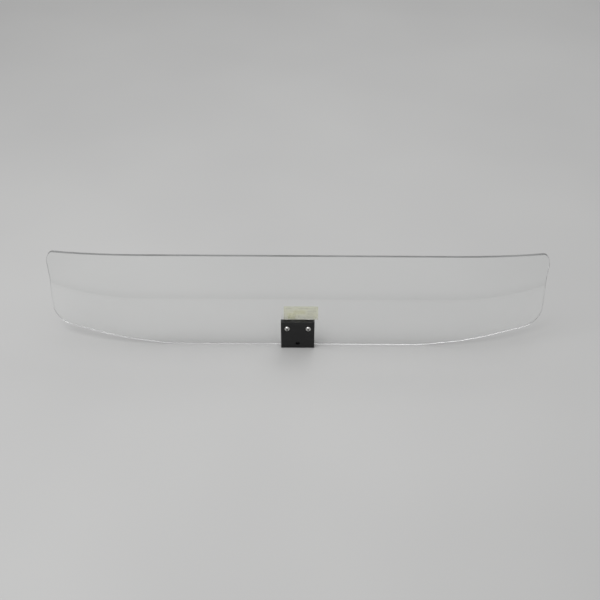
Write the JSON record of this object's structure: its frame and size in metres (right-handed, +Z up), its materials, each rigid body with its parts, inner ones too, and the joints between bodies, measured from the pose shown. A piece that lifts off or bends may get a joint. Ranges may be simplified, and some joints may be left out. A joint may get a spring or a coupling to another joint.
{
  "type": "hood protector",
  "caption": "Clear curved hood protector shield with wrapped ends and a leaning upper band, clamped at its middle between a black block and a rear steel angle with a foot.",
  "frame": {"origin": "on the underside of the rear angle's foot, midway between its two fixing holes, on the plane that the part stands on", "axes": "+X across the hood, to the right as seen from the front of the car; +Y back towards the windscreen; +Z up"},
  "size_m": [1.2878, 0.1293, 0.24],
  "materials": {
    "clear_acrylic": "clear, polished faces and edges",
    "black_plastic": "satin black",
    "pad_rubber": "matt",
    "black_steel": "satin black powder coat",
    "stainless": "bright stainless steel",
    "label_film": "clear film with a pale yellow tint"
  },
  "bodies": {
    "root": {"shield": "clear_acrylic", "clamp_block": "black_plastic", "front_pad": "pad_rubber", "rear_pad": "pad_rubber", "rear_angle": "black_steel", "screw_left": "stainless", "screw_right": "stainless", "washer_left": "stainless", "washer_right": "stainless", "nut_left": "stainless", "nut_right": "stainless", "label_film": "label_film"}
  },
  "joints": []
}
